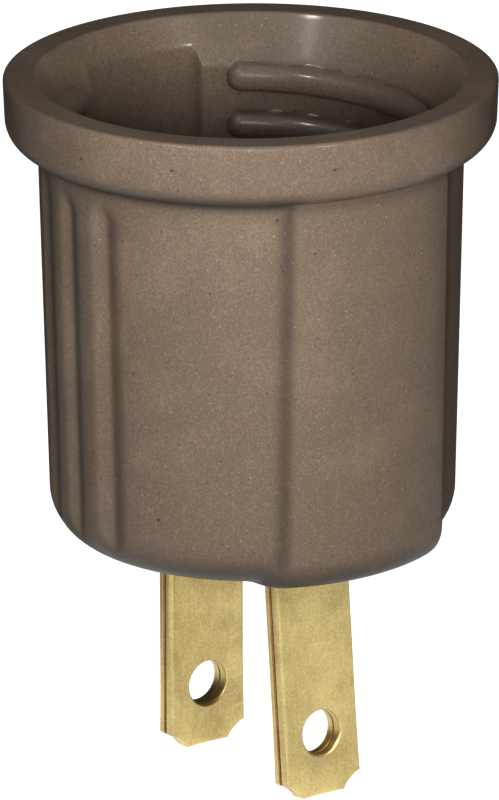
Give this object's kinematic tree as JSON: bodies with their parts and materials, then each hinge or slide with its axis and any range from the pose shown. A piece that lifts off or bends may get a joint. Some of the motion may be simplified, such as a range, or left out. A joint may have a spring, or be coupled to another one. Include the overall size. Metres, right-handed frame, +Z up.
{
  "type": "lamp socket adapter",
  "caption": "Plug-in lamp socket adapter: a moulded cup with an internal lamp thread, sprung contacts and two folded brass plug blades.",
  "frame": {"origin": "centre of the flat plug face, between the two blades", "axes": "+Z up through the mouth of the socket, +X along the line through the two blades towards the one that leans, blade widths along Y"},
  "size_m": [0.0356, 0.0356, 0.0526],
  "materials": {
    "phenolic": "satin moulded",
    "blade_brass": "dull rolled",
    "contact_brass": "dull rolled",
    "rivet_brass": "dull"
  },
  "bodies": {
    "root": {"housing": "phenolic", "blade_near": "blade_brass", "blade_far": "blade_brass", "rivet_near": "rivet_brass", "rivet_far": "rivet_brass", "side_contact": "contact_brass", "centre_contact": "contact_brass"}
  },
  "joints": []
}
